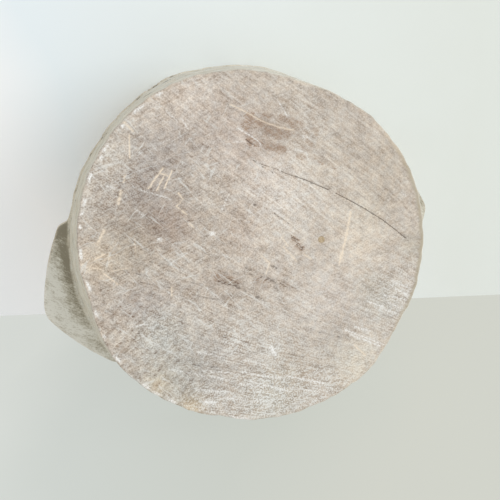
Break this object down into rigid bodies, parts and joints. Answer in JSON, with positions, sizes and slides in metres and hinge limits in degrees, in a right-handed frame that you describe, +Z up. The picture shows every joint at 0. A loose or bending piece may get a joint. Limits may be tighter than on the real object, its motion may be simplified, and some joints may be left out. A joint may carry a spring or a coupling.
{
  "type": "butter mold",
  "caption": "Round wooden butter mold: a lugged wall ring on a flat base board, with a tapered cavity and a loose print board carved with a rosette.",
  "frame": {"origin": "centre of the round flat base face, on the surface that the mold stands on", "axes": "+Z up out of the cavity; +X from the large lug towards the small lug, along the longest extent"},
  "size_m": [0.3652, 0.307, 0.095],
  "materials": {
    "base_wood": "dry, weathered grey-brown, unfinished",
    "case_wood": "dry, weathered grey-green, unfinished",
    "print_wood": "satin, darkened by butter",
    "tenon_wood": "split and shaved, unfinished",
    "plug_wood": "paler end grain, unfinished"
  },
  "bodies": {
    "mold": {"case": "case_wood", "base_board": "base_wood", "tenons": "tenon_wood", "hole_plug": "plug_wood"},
    "print": {"print_board": "print_wood"}
  },
  "joints": [
    {"name": "print_lift", "type": "slide", "parent": "mold", "child": "print", "axis": [0, 0, 1], "range_m": [0, 0.085]}
  ]
}
